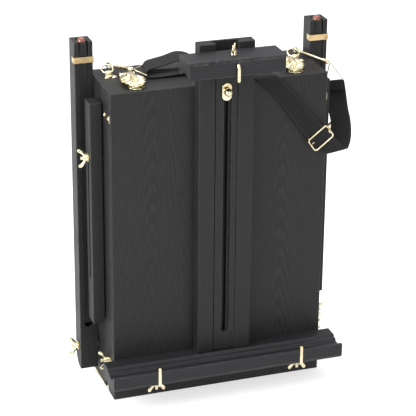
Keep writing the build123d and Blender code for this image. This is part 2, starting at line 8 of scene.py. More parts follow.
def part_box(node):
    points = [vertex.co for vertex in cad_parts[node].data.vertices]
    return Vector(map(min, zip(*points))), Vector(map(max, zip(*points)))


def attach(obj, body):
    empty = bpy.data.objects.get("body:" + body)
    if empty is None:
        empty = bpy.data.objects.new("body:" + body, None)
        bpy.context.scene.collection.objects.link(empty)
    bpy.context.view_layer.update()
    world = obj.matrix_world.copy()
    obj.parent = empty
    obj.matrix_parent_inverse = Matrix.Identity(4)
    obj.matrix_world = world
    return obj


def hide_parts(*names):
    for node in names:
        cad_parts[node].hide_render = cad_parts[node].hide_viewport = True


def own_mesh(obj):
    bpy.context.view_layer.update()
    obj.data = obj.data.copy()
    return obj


# A folded sketch-box easel in black-stained wood, with brass fittings and a webbing strap.
# Lengths are in metres in the row frame; mm turns millimetres into metres.
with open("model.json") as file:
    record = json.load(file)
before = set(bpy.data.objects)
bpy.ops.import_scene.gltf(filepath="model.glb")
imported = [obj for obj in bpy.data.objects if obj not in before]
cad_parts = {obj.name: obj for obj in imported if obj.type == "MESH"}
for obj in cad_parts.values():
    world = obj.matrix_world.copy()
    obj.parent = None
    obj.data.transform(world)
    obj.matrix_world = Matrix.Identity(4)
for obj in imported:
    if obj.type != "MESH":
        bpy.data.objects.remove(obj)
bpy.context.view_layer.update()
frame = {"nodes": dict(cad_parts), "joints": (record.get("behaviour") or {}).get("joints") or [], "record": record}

mm = 0.001
bodies = frame["record"]["behaviour"]["bodies"]
body_of_node = {node: body for body, names in bodies.items() for node in names}
joints = {joint["name"]: joint for joint in frame["joints"]}

# ------------------------------------------------------------------ places read from the frame
lid_low, lid_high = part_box("lid_panel")
lid_face = lid_low.y
top = lid_high.z
half_width = lid_high.x

webbing_width = 33.0
webbing_thick = 1.7


def at(x, behind_lid_face, z):
    """A point from millimetres: x, the distance behind the lid's face, and the height."""
    return Vector((x * mm, lid_face + behind_lid_face * mm, z * mm))


# ------------------------------------------------------------------ node helpers
class Shader:
    """A material's nodes, with short calls for the few kinds used here."""

    def __init__(self, name):
        self.material = bpy.data.materials.new(name)
        self.material.use_nodes = True
        self.tree = self.material.node_tree
        self.surface = self.tree.nodes["Principled BSDF"]

    def node(self, kind, values=None, **settings):
        made = self.tree.nodes.new(kind)
        for key, value in settings.items():
            setattr(made, key, value)
        for key, value in (values or {}).items():
            if isinstance(value, bpy.types.NodeSocket):
                self.tree.links.new(value, made.inputs[key])
            else:
                made.inputs[key].default_value = value
        return made

    def math(self, operation, a, b=0.0, c=0.0):
        return self.node("ShaderNodeMath", {0: a, 1: b, 2: c}, operation=operation).outputs[0]

    def scaled(self, vector, scale, turn=(0, 0, 0)):
        made = self.node("ShaderNodeMapping", {"Vector": vector, "Scale": scale, "Rotation": turn})
        return made.outputs[0]

    def noise(self, vector, scale=1.0, detail=2.0, roughness=0.5):
        values = {"Vector": vector, "Scale": scale, "Detail": detail, "Roughness": roughness}
        return self.node("ShaderNodeTexNoise", values).outputs["Fac"]

    def ramp(self, value, low, high, to_low=0.0, to_high=1.0):
        values = {"Value": value, 1: low, 2: high, 3: to_low, 4: to_high}
        return self.node("ShaderNodeMapRange", values, interpolation_type="SMOOTHSTEP").outputs[0]

    def blend(self, share, first, second):
        values = {"Factor": share, 6: first, 7: second}
        return self.node("ShaderNodeMix", values, data_type="RGBA").outputs[2]

    def bump(self, height, distance, strength=1.0, below=None):
        values = {"Height": height, "Distance": distance, "Strength": strength}
        if below is not None:
            values["Normal"] = below
        return self.node("ShaderNodeBump", values).outputs[0]

    def set(self, **values):
        names = {"colour": "Base Color", "rough": "Roughness", "metal": "Metallic", "normal": "Normal",
                 "specular": "Specular IOR Level", "coat": "Coat Weight", "coat_rough": "Coat Roughness",
                 "sheen": "Sheen Weight", "sheen_rough": "Sheen Roughness"}
        for key, value in values.items():
            socket = self.surface.inputs[names[key]]
            if isinstance(value, bpy.types.NodeSocket):
                self.tree.links.new(value, socket)
            else:
                socket.default_value = value
        return self.material


def edge_wear_and_sheen(shader, radius, amount):
    """From 0 on a flat face to 1 along its edges, broken up by noise: where the edges are rubbed and where a
    painted highlight lies along them.
    """
    soft = shader.node("ShaderNodeBevel", {"Radius": radius}, samples=4).outputs[0]
    plain = shader.node("ShaderNodeNewGeometry").outputs["Normal"]
    dot = shader.node("ShaderNodeVectorMath", {0: soft, 1: plain}, operation="DOT_PRODUCT").outputs["Value"]
    edge = shader.ramp(dot, 0.995, 0.9, 0.0, 1.0)
    place = shader.node("ShaderNodeTexCoord").outputs["Object"]
    broken = shader.ramp(shader.noise(place, 90.0, 4.0, 0.65), 0.36, 0.62)
    return shader.math("MULTIPLY", shader.math("MULTIPLY", edge, broken), amount)


def stained_wood(name, along="z", arches=False, dark=(0.0095, 0.0095, 0.0097), light=(0.0255, 0.0255, 0.026),
                 wear_and_sheen=0.5):
    """Black-stained open-grained wood whose grain runs along one axis."""
    shader = Shader(name)
    turns = {"z": (0, 0, 0), "x": (0, math.radians(90), 0), "y": (math.radians(90), 0, 0)}
    place = shader.scaled(shader.node("ShaderNodeTexCoord").outputs["Object"], (1, 1, 1), turns[along])
    parts = shader.node("ShaderNodeSeparateXYZ", {0: place})
    drift = shader.noise(shader.scaled(place, (14, 14, 1.6)), 1.0, 2.0)
    if arches:
        # plain-sawn figure: pointed arches either side of the mast guide
        centre = shader.math("SUBTRACT", shader.math("ABSOLUTE", parts.outputs[0]), 0.117)
        wobble = shader.math("MULTIPLY", shader.math("SUBTRACT", drift, 0.5), 0.05)
        across = shader.math("ADD", centre, wobble)
        round_off = shader.math("SQRT", shader.math("MULTIPLY_ADD", across, across, 0.00016))
        rise = shader.math("MULTIPLY", parts.outputs[2], 0.115)
        distance = shader.math("ADD", round_off, rise)
        spacing = 0.0043
    else:
        pair = shader.math("ADD", parts.outputs[0], shader.math("MULTIPLY", parts.outputs[1], 0.83))
        distance = shader.math("MULTIPLY_ADD", drift, 0.022, pair)
        spacing = 0.0037
    wander = shader.math("MULTIPLY", shader.noise(shader.scaled(place, (45, 45, 4)), 1.0, 2.0), 0.004)
    phase = shader.math("FRACT", shader.math("DIVIDE", shader.math("ADD", distance, wander), spacing))
    late = shader.math("MULTIPLY", shader.ramp(phase, 0.25, 0.86), shader.ramp(phase, 1.0, 0.90))
    fibre = shader.noise(shader.scaled(place, (1100, 1100, 16)), 1.0, 3.0, 0.6)
    pores = shader.ramp(shader.noise(shader.scaled(place, (1500, 1500, 42)), 1.0, 2.0, 0.5), 0.60, 0.68)
    pores = shader.math("MULTIPLY", pores, shader.ramp(late, 0.0, 0.8, 0.35, 1.0))
    cloud = shader.noise(place, 9.0, 3.0)
    share = shader.math("MULTIPLY_ADD", late, 0.24, shader.math("MULTIPLY", fibre, 0.62))
    share = shader.math("MULTIPLY_ADD", cloud, 0.30, share)
    colour = shader.blend(shader.ramp(share, 0.15, 1.05), (*dark, 1), (*light, 1))
    colour = shader.blend(shader.math("MULTIPLY", pores, 0.7), colour, (0.004, 0.004, 0.004, 1))
    # lighter edges: partly rubbed wear, partly a painted highlight (edge sheen) along the bevels
    colour = shader.blend(edge_wear_and_sheen(shader, (1.0 + wear_and_sheen) * mm, wear_and_sheen), colour, (0.110, 0.108, 0.105, 1))
    height = shader.math("MULTIPLY_ADD", pores, -1.0, shader.math("MULTIPLY", late, 0.35))
    height = shader.math("MULTIPLY_ADD", fibre, 0.35, height)
    rough = shader.ramp(shader.math("MULTIPLY_ADD", fibre, 0.4, cloud), 0.4, 1.0, 0.40, 0.56)
    return shader.set(colour=colour, rough=rough, specular=0.21, normal=shader.bump(height, 0.14 * mm, 0.8))


def plain_wood(name):
    """Oiled plywood for the palette."""
    shader = Shader(name)
    place = shader.node("ShaderNodeTexCoord").outputs["Object"]
    rings = shader.noise(shader.scaled(place, (38, 38, 2.4)), 1.0, 4.0, 0.6)
    fibre = shader.noise(shader.scaled(place, (1000, 1000, 14)), 1.0, 3.0)
    share = shader.math("MULTIPLY_ADD", fibre, 0.35, shader.math("MULTIPLY", rings, 0.9))
    colour = shader.blend(shader.ramp(share, 0.3, 0.95), (0.30, 0.17, 0.08, 1), (0.52, 0.35, 0.19, 1))
    return shader.set(colour=colour, rough=0.48, normal=shader.bump(fibre, 0.08 * mm, 0.8))


def brass(name, pale=(0.80, 0.74, 0.54), deep=(0.58, 0.47, 0.27), rough=0.15):
    """Pale polished brass with faint smears and tiny scratches."""
    shader = Shader(name)
    place = shader.node("ShaderNodeTexCoord").outputs["Object"]
    cloud = shader.noise(place, 55.0, 3.0, 0.6)
    scratch = shader.noise(shader.scaled(place, (300, 2600, 900), (0.4, 0.2, 0.7)), 1.0, 2.0)
    colour = shader.blend(shader.ramp(cloud, 0.38, 0.72), (*pale, 1), (*deep, 1))
    smear = shader.ramp(shader.math("MULTIPLY_ADD", scratch, 0.4, cloud), 0.5, 1.1, rough, rough + 0.16)
    height = shader.math("MULTIPLY_ADD", scratch, 0.3, cloud)
    return shader.set(colour=colour, metal=1.0, rough=smear, normal=shader.bump(height, 0.05 * mm, 0.6))


def webbing(name):
    """Matte charcoal webbing: ribs along its length, picks across it and a denser edge."""
    shader = Shader(name)
    flat_place = shader.node("ShaderNodeUVMap", uv_map="strap").outputs[0]
    parts = shader.node("ShaderNodeSeparateXYZ", {0: flat_place})
    across, along = parts.outputs[0], parts.outputs[1]
    ribs = shader.math("SINE", shader.math("MULTIPLY", across, 2 * math.pi / (1.5 * mm)))
    half = shader.math("MULTIPLY", shader.math("SIGN", ribs), math.pi / 2)
    picks = shader.math("SINE", shader.math("MULTIPLY_ADD", along, 2 * math.pi / (1.3 * mm), half))
    weave = shader.math("MULTIPLY_ADD", picks, 0.35, shader.math("ABSOLUTE", ribs))
    place = shader.node("ShaderNodeTexCoord").outputs["Object"]
    fuzz = shader.noise(place, 1400.0, 3.0, 0.7)
    cloud = shader.noise(place, 35.0, 2.0)
    share = shader.math("MULTIPLY_ADD", weave, 0.45, shader.math("MULTIPLY", fuzz, 0.5))
    share = shader.math("MULTIPLY_ADD", cloud, 0.3, share)
    colour = shader.blend(shader.ramp(share, 0.1, 1.2), (0.006, 0.006, 0.0062, 1), (0.021, 0.021, 0.0215, 1))
    # the selvedge: a line a few threads in from each edge
    edge = shader.math("ABSOLUTE", shader.math("SUBTRACT", across, webbing_width / 2 * mm))
    line_start = shader.ramp(edge, 13.2 * mm, 13.6 * mm)
    line_end = shader.ramp(edge, 14.5 * mm, 14.1 * mm)
    line = shader.math("MULTIPLY", line_start, line_end)
    colour = shader.blend(shader.math("MULTIPLY", line, 0.5), colour, (0.040, 0.040, 0.040, 1))
    height = shader.math("MULTIPLY_ADD", fuzz, 0.3, weave)
    normal = shader.bump(height, 0.22 * mm, 0.9)
    return shader.set(colour=colour, rough=0.88, specular=0.20, sheen=0.05, sheen_rough=0.4, normal=normal)


def foot_rubber(name):
    """Glossy brown-red moulded rubber."""
    shader = Shader(name)
    place = shader.node("ShaderNodeTexCoord").outputs["Object"]
    cloud = shader.noise(place, 160.0, 3.0)
    colour = shader.blend(cloud, (0.12, 0.030, 0.018, 1), (0.30, 0.085, 0.050, 1))
    normal = shader.bump(cloud, 0.1 * mm, 0.4)
    return shader.set(colour=colour, rough=0.22, coat=0.4, coat_rough=0.1, normal=normal)


wood = {
    "upright": stained_wood("stained_wood_upright"),
    "figured": stained_wood("stained_wood_figured", arches=True),
    "across": stained_wood("stained_wood_across", along="x"),
    # the tray and clamp bar get broader lightened edges: rubbed wear and a painted edge highlight
    "cool": stained_wood(
        "stained_wood_cool", along="x", dark=(0.0105, 0.0107, 0.012), light=(0.028, 0.0285, 0.032), wear_and_sheen=1.0
    ),
    "back": stained_wood("stained_wood_back", along="z", arches=True),
}
brass_bright = brass("brass_bright")
brass_band = brass("brass_band", pale=(0.60, 0.45, 0.24), deep=(0.36, 0.25, 0.12), rough=0.30)
brass_worn = brass("brass_worn", pale=(0.78, 0.68, 0.44), deep=(0.50, 0.38, 0.20), rough=0.24)
strap_cloth = webbing("strap_webbing")
rubber = foot_rubber("foot_rubber_gloss")
palette_wood = plain_wood("palette_plywood")

# ------------------------------------------------------------------ CAD nodes that keep their shape
upright_nodes = [
    "box_frame", "dividers", "lid_frame", "guide_board", "guide_rails", "mast",
    "stay_left", "stay_right", "leg_left", "leg_right", "leg_rear",
    "leg_slide_left", "leg_slide_right", "leg_slide_rear", "rear_bracket",
]
kept = {name: wood["upright"] for name in upright_nodes}
kept.update({"lid_panel": wood["figured"], "back_panel": wood["back"]})
kept.update({"tray": wood["cool"], "clamp_bar": wood["cool"], "palette": palette_wood})
bright_nodes = ("mast_lock_plate", "stay_brackets", "tray_straps", "base_strips")
kept.update({name: brass_bright for name in bright_nodes})
kept.update({name: brass_band for name in ("leg_band_left", "leg_band_right", "leg_band_rear")})
kept.update({name: brass_worn for name in ("hinge_box_leaves", "hinge_lid_leaves", "pivot_washers")})


def soften(piece, width, angle=32.0):
    """Rounds a CAD node's sharp edges with modifiers; its own mesh stays as it was."""
    piece.modifiers.new("weld", "WELD").merge_threshold = 0.002 * mm
    flat = piece.modifiers.new("flat", "DECIMATE")
    flat.decimate_type = "DISSOLVE"
    flat.angle_limit = math.radians(1.0)
    bevel = piece.modifiers.new("bevel", "BEVEL")
    bevel.width = width
    bevel.segments = 3
    bevel.limit_method = "ANGLE"
    bevel.angle_limit = math.radians(angle)
    bevel.use_clamp_overlap = True


def dress(piece, material):
    """Gives a piece one material."""
    piece.data.materials.clear()
    piece.data.materials.append(material)


for name, material in kept.items():
    piece = frame["nodes"][name]
    dress(piece, material)
    is_metal = material in (brass_bright, brass_band, brass_worn)
    soften(piece, 0.25 * mm if is_metal else 0.8 * mm)


# ------------------------------------------------------------------ mesh helpers
def mesh_piece(name, points, faces, material, smooth=True):
    """A mesh object from points in metres and faces."""
    mesh = bpy.data.meshes.new(name)
    mesh.from_pydata([tuple(p) for p in points], [], faces)
    mesh.validate()
    mesh.update()
    mesh.materials.append(material)
    for polygon in mesh.polygons:
        polygon.use_smooth = smooth
    piece = bpy.data.objects.new(name, mesh)
    bpy.context.scene.collection.objects.link(piece)
    return piece


def join_parts(name, parts, material, smooth=True):
    """One mesh from several (points, faces) parts."""
    points = []
    faces = []
    for part_points, part_faces in parts:
        start = len(points)
        points.extend(part_points)
        faces.extend([tuple(start + i for i in face) for face in part_faces])
    return mesh_piece(name, points, faces, material, smooth)


def axes_for(out, across):
    """A matrix whose columns are across, its partner and out."""
    out = Vector(out).normalized()
    across = Vector(across)
    across = (across - across.dot(out) * out).normalized()
    return Matrix((across, out.cross(across), out)).transposed()


def placed(part, seat, out, across):
    """A part made about the origin with +Z out, moved to its seat."""
    turn = axes_for(out, across)
    points, faces = part
    return [turn @ Vector(p) + Vector(seat) for p in points], faces


def lathe(profile, segments=28):
    """A turned part about +Z from (radius, height) pairs in millimetres, closed at radius 0."""
    points = []
    for radius, height in profile:
        for k in range(segments):
            angle = 2 * math.pi * k / segments
            points.append((radius * mm * math.cos(angle), radius * mm * math.sin(angle), height * mm))
    faces = []
    for ring in range(len(profile) - 1):
        for k in range(segments):
            a = ring * segments + k
            b = ring * segments + (k + 1) % segments
            faces.append((a, b, b + segments, a + segments))
    faces.append(tuple(reversed(range(segments))))
    last = (len(profile) - 1) * segments
    faces.append(tuple(range(last, last + segments)))
    return points, faces


def rounded(outline, times=2):
    """Cuts a closed outline's corners."""
    for _ in range(times):
        cut = []
        for a, b in zip(outline, outline[1:] + outline[:1]):
            cut.append((0.75 * a[0] + 0.25 * b[0], 0.75 * a[1] + 0.25 * b[1]))
            cut.append((0.25 * a[0] + 0.75 * b[0], 0.25 * a[1] + 0.75 * b[1]))
        outline = cut
    return outline


def plate(outline, thick, soft, rise=0.0):
    """A plate in XY from an outline in millimetres, with rounded rims; rise domes its upper face."""
    count = len(outline)
    centre = (sum(p[0] for p in outline) / count, sum(p[1] for p in outline) / count)

    def ring(inset, height):
        made = []
        for x, y in outline:
            dx, dy = centre[0] - x, centre[1] - y
            far = math.hypot(dx, dy) or 1.0
            made.append(((x + dx / far * inset) * mm, (y + dy / far * inset) * mm, height * mm))
        return made

    rings = [
        ring(soft, 0.0),
        ring(0.0, soft),
        ring(0.0, thick - soft),
        ring(0.3 * soft, thick - 0.3 * soft),
        ring(soft, thick),
    ]
    reach = min(math.hypot(p[0] - centre[0], p[1] - centre[1]) for p in outline)
    for share in (0.35, 0.65):
        if rise:
            rings.append(ring(soft + share * reach, thick + rise * math.sin(share * math.pi / 2)))
    points = [p for made in rings for p in made]
    faces = []
    for level in range(len(rings) - 1):
        for k in range(count):
            a = level * count + k
            b = level * count + (k + 1) % count
            faces.append((a, b, b + count, a + count))
    faces.append(tuple(reversed(range(count))))
    faces.append(tuple(range((len(rings) - 1) * count, len(rings) * count)))
    return points, faces


def wire(points, radius, segments=12, per_run=8, closed=False):
    """A round wire along a smooth line through points in metres."""
    line = smooth_line([Vector(p) for p in points], per_run, closed)
    count = len(line)
    verts = []
    up = Vector((0.13, 0.31, 0.94))
    for k, place in enumerate(line):
        before = line[k - 1] if closed or k else place
        after = line[(k + 1) % count] if closed or k < count - 1 else place
        tangent = (after - before).normalized()
        side = tangent.cross(up)
        if side.length < 0.05:
            side = tangent.cross(Vector((1, 0, 0)))
        side.normalize()
        up = side.cross(tangent)
        for s in range(segments):
            angle = 2 * math.pi * s / segments
            verts.append(place + radius * (math.cos(angle) * side + math.sin(angle) * up))
    faces = []
    for k in range(count if closed else count - 1):
        for s in range(segments):
            a = k * segments + s
            b = k * segments + (s + 1) % segments
            c = ((k + 1) % count) * segments
            faces.append((a, b, c + (s + 1) % segments, c + s))
    if not closed:
        faces.append(tuple(reversed(range(segments))))
        faces.append(tuple(range((count - 1) * segments, count * segments)))
    return verts, faces


def smooth_line(points, per_run, closed=False):
    """Points on a smooth line through the given ones, evenly spaced between them in number."""
    made = []
    count = len(points)
    runs = count if closed else count - 1
    for k in range(runs):
        p0 = points[(k - 1) % count] if closed or k else 2 * points[0] - points[1]
        p1 = points[k]
        p2 = points[(k + 1) % count]
        p3 = points[(k + 2) % count] if closed or k + 2 < count else 2 * points[-1] - points[-2]
        for s in range(per_run):
            t = s / per_run
            made.append(
                0.5 * (2 * p1 + (p2 - p0) * t + (2 * p0 - 5 * p1 + 4 * p2 - p3) * t * t
                       + (3 * p1 - p0 - 3 * p2 + p3) * t ** 3)
            )
    if not closed:
        made.append(points[-1].copy())
    return made


def fit(name, parts, body, slot_name, *nodes, material=None):
    """Joins parts into a piece, which rides on a body and may stand for CAD nodes."""
    piece = join_parts(name, parts, material or brass_bright)
    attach(piece, body)
    if nodes:
        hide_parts(*nodes)
    return piece


# ------------------------------------------------------------------ fastenings
def wing_nut_part():
    """A wing nut about +Z, its seat at the origin and its wings along X."""
    hub = lathe([
        (3.0, 0.0), (5.3, 0.0), (5.6, 0.4), (5.6, 1.3),
        (5.0, 2.1), (4.6, 5.6), (4.1, 7.0), (3.0, 7.5),
    ])
    wing = rounded([(2.6, 1.0), (6.2, 1.7), (11.0, 5.2), (14.9, 9.8), (15.7, 12.8), (14.4, 15.6),
                    (11.6, 16.0), (9.4, 13.4), (6.4, 8.4), (2.6, 6.4)])
    parts = [hub]
    for side in (1, -1):
        points, faces = plate(wing, 2.6, 0.8)
        turned = [(side * x, side * (z - 1.3 * mm), y) for x, y, z in points]
        # the wing thins towards its tip and leans a little with its twist
        parts.append((
            [(x, y * (1.25 - 0.35 * abs(x) / (15.7 * mm)) + 0.05 * x, z) for x, y, z in turned],
            faces,
        ))
    return parts


def thread_part(length, radius=2.85, pitch=1.0):
    """A threaded rod about +Z."""
    profile = [(0.4, 0.0), (radius - 0.5, 0.0)]
    turns = int(length / pitch)
    for k in range(turns):
        profile.append((radius, (k + 0.3) * pitch))
        profile.append((radius, (k + 0.45) * pitch))
        profile.append((radius - 0.45, (k + 0.8) * pitch))
    profile.append((radius - 0.5, length - 0.2))
    profile.append((0.4, length))
    return lathe(profile, 20)


def screw_part(radius=3.0, height=1.5):
    """A round-headed screw about +Z, with a slot."""
    cells = 18
    points = []
    for i in range(cells + 1):
        for j in range(cells + 1):
            u, v = 2 * i / cells - 1, 2 * j / cells - 1
            x = u * math.sqrt(max(0.0, 1 - v * v / 2))
            y = v * math.sqrt(max(0.0, 1 - u * u / 2))
            far = min(1.0, math.hypot(x, y))
            z = height * math.sqrt(max(0.0, 1 - 0.92 * far * far))
            if abs(y) < 0.15 and far < 0.93:
                z -= 0.45 * height
            points.append((x * radius * mm, y * radius * mm, z * mm))
    faces = []
    row = cells + 1
    for i in range(cells):
        for j in range(cells):
            a = i * row + j
            faces.append((a, a + row, a + row + 1, a + 1))
    rim = [i * row for i in range(row)] + [cells * row + j for j in range(1, row)]
    rim += [i * row + cells for i in range(cells - 1, -1, -1)] + list(range(cells - 1, 0, -1))
    start = len(points)
    points += [(points[k][0], points[k][1], 0.0) for k in rim]
    count = len(rim)
    for k in range(count):
        n = (k + 1) % count
        faces.append((rim[n], rim[k], start + k, start + n))
    faces.append(tuple(start + k for k in range(count)))
    return points, faces


nut_turns = {
    "clamp_nut": ((0, 0, 1), (0.5, 0.866, 0)),
    "tray_nut_left": ((0, 0, -1), (1, 0.12, 0)),
    "tray_nut_right": ((0, 0, -1), (1, -0.08, 0)),
    "stay_nut_left": ((-1, 0, 0), (0, 0.25, 0.97)),
    "stay_nut_right": ((1, 0, 0), (0, 0.1, 1)),
    "leg_nut_left": ((-1, 0, 0), (0, 0.18, 0.98)),
    "leg_nut_right": ((1, 0, 0), (0, -0.2, 0.98)),
    "leg_nut_rear": ((1, 0, 0), (0, 0, 1)),
}
for name, (out, across) in nut_turns.items():
    low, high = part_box(name)
    seat = (low + high) / 2
    axis = max(range(3), key=lambda i: abs(out[i]))
    seat[axis] = low[axis] if out[axis] > 0 else high[axis]
    parts = [placed(part, seat, out, across) for part in wing_nut_part()]
    fit(name + "_shaped", parts, body_of_node[name], "brass", name)

# threaded bolts through the legs and stays
low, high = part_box("leg_nut_left")
leg_bolt = (low + high) / 2
low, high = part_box("stay_nut_left")
stay_bolt = (low + high) / 2
low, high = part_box("leg_nut_rear")
rear_bolt = (low + high) / 2
bolts = []
bolt_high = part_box("pivot_bolts")[1]
for side in (-1, 1):
    for centre, reach in ((leg_bolt, bolt_high.x), (stay_bolt, bolt_high.x - 12 * mm)):
        start = Vector((side * (half_width - 6 * mm), centre.y, centre.z))
        length = (reach - half_width + 6 * mm) / mm
        bolts.append(placed(thread_part(length), start, (side, 0, 0), (0, 0, 1)))
rear_start = Vector((-32 * mm, rear_bolt.y, rear_bolt.z))
bolts.append(placed(thread_part(73), rear_start, (1, 0, 0), (0, 0, 1)))
rear_head = Vector((-28.6 * mm, rear_bolt.y, rear_bolt.z))
bolts.append(placed(screw_part(5.6, 3.4), rear_head, (-1, 0, 0), (0, 0.6, 0.8)))
fit("pivot_bolts_threaded", bolts, "box", "brass", "pivot_bolts")

low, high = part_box("clamp_stud")
stud = thread_part((high.z - low.z) / mm)
seat = ((low.x + high.x) / 2, (low.y + high.y) / 2, low.z)
stud = placed(stud, seat, (0, 0, 1), (1, 0, 0))
fit("clamp_stud_threaded", [stud], body_of_node["clamp_stud"], "brass", "clamp_stud")

low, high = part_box("tray_studs")
studs = []
for nut in ("tray_nut_left", "tray_nut_right"):
    nut_low, nut_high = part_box(nut)
    seat = ((nut_low.x + nut_high.x) / 2, (low.y + high.y) / 2, low.z)
    studs.append(placed(thread_part((high.z - low.z) / mm), seat, (0, 0, 1), (1, 0, 0)))
fit("tray_studs_threaded", studs, "lid", "brass", "tray_studs")

low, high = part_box("tray_strap_bolts")
side_bolts = []
for side in (-1, 1):
    seat = Vector((side * (half_width + 1.6 * mm), (low.y + high.y) / 2, (low.z + high.z) / 2))
    side_bolts += [placed(part, seat, (side, 0, 0), (0, 0.35, 0.94)) for part in wing_nut_part()]
    start = seat - Vector((side * 1.6 * mm, 0, 0))
    side_bolts.append(placed(thread_part(15), start, (side, 0, 0), (0, 0, 1)))
fit("tray_side_bolts", side_bolts, "lid", "brass", "tray_strap_bolts")

# ------------------------------------------------------------------ feet
foot_profile = [
    (7.0, 0.0), (7.5, 0.25), (7.5, 1.0), (6.9, 1.6), (6.5, 2.9),
    (5.5, 4.6), (3.9, 6.0), (2.0, 6.8), (0.3, 7.0),
]
for name, out in (("foot_left", 1), ("foot_right", 1), ("foot_rear", -1)):
    low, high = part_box(name)
    seat = Vector(((low.x + high.x) / 2, (low.y + high.y) / 2, low.z if out > 0 else high.z))
    fit(name + "_dome", [placed(lathe(foot_profile, 32), seat, (0, 0, out), (1, 0, 0))],
        body_of_node[name], "foot_rubber", name, material=rubber)

# ------------------------------------------------------------------ hooks that hold the canvas
def flat_bar(points, width, thick, per_run=6):
    """A bar with rounded edges, width along X and thick across, along points in the YZ plane."""
    line = smooth_line([Vector(p) for p in points], per_run)
    section = []
    for k in range(16):
        angle = 2 * math.pi * (k + 0.5) / 16
        c, s = math.cos(angle), math.sin(angle)
        across = math.copysign(abs(c) ** 0.45, c) * width / 2
        through = math.copysign(abs(s) ** 0.6, s) * thick / 2
        section.append((across, through))
    verts = []
    for k, place in enumerate(line):
        tangent = (line[min(k + 1, len(line) - 1)] - line[max(k - 1, 0)]).normalized()
        up = tangent.cross(Vector((1, 0, 0)))
        shrink = 0.72 if k in (0, len(line) - 1) else 1.0
        verts += [place + Vector((1, 0, 0)) * a * mm * shrink + up * b * mm * shrink for a, b in section]
    faces = []
    for k in range(len(line) - 1):
        for s in range(16):
            a = k * 16 + s
            b = k * 16 + (s + 1) % 16
            faces.append((a, b, b + 16, a + 16))
    faces.append(tuple(reversed(range(16))))
    faces.append(tuple(range((len(line) - 1) * 16, len(line) * 16)))
    return verts, faces


def bent(x, back, face, level, tip, bend):
    """Points of an L-shaped hook with a round bend, from its back end to its tip, in metres."""
    way = 1 if tip > level else -1
    points = [(x, back, level), (x, (back + face) / 2, level), (x, face + bend, level)]
    for k in range(1, 4):
        angle = k * math.pi / 8
        points.append((x, face + bend * (1 - math.sin(angle)), level + way * bend * (1 - math.cos(angle))))
    points += [(x, face, level + way * bend), (x, face, (level + tip) / 2), (x, face, tip)]
    return points


low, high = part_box("upper_hook")
arm_z = high.z - 2.0 * mm
hook_route = bent((low.x + high.x) / 2, high.y, low.y + 2.0 * mm, arm_z, low.z + 0.5 * mm, 7 * mm)
hook = flat_bar(hook_route, 5.2, 3.8)
fit("upper_hook_bar", [hook], "upper_hook", "brass", "upper_hook")
for name in ("tray_hook_left", "tray_hook_right"):
    low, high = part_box(name)
    x = (low.x + high.x) / 2
    arm_z = low.z + 2.0 * mm
    bar = flat_bar(bent(x, low.y + 9 * mm, low.y + 2.0 * mm, arm_z, high.z - 0.5 * mm, 4 * mm), 5.6, 3.8)
    arms = [bar]
    for side in (-1, 1):
        fork = [(x + side * 4.6 * mm, high.y, arm_z), (x + side * 4.6 * mm, low.y + 14 * mm, arm_z),
                (x + side * 1.5 * mm, low.y + 7.5 * mm, arm_z)]
        arms.append(flat_bar(fork, 2.6, 3.6))
    fit(name + "_bar", arms, name, "brass", name)

# ------------------------------------------------------------------ lock knob
low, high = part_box("mast_lock_knob")
knob_x = (low.x + high.x) / 2
knob_profile = [(2.8, 0.0), (2.8, 20.0), (4.4, 20.4), (4.6, 22.6), (4.0, 23.6), (5.0, 24.6), (6.2, 26.4),
                (6.8, 28.8), (6.7, 31.0), (5.8, 33.4), (4.0, 35.2), (1.9, 36.1), (0.2, 36.3)]
knob_z = (low.z + high.z) / 2 - 1 * mm
knob_reach = (high.y - low.y) / mm
knob_length = knob_profile[-1][1]
knob = lathe([(r, h * knob_reach / knob_length) for r, h in knob_profile], 36)
knob = placed(knob, (knob_x, high.y, knob_z), (0, -1, 0), (1, 0, 0))
fit("mast_lock_ball", [knob], "lid", "brass", "mast_lock_knob")

# ------------------------------------------------------------------ latches
def scallop(width, length, lobes, depth):
    """A shell-shaped outline, its fan towards -Y."""
    outline = []
    steps = lobes * 6
    for k in range(steps + 1):
        angle = math.pi * (1.0 + k / steps)
        ripple = 1.0 - depth + depth * abs(math.sin(lobes * (angle - math.pi)))
        outline.append((width / 2 * ripple * math.cos(angle), length * 0.55 * ripple * math.sin(angle)))
    outline += [(width * 0.42, length * 0.22), (width * 0.22, length * 0.42), (0, length * 0.46),
                (-width * 0.22, length * 0.42), (-width * 0.42, length * 0.22)]
    return outline


def shift(part, x, y, z):
    """A part moved by metres."""
    points, faces = part
    return [Vector(p) + Vector((x, y, z)) for p in points], faces


def screw_at(place, out=(0, 0, 1), across=(0.8, 0.6, 0), radius=2.6, height=1.4):
    """A screw head at a place in metres, its slot along across."""
    return placed(screw_part(radius, height), place, out, across)


latch_lobes = 7
first_flute = 193 - 9.4
flute_step = 27.7
bail_radius = 1.0 * mm


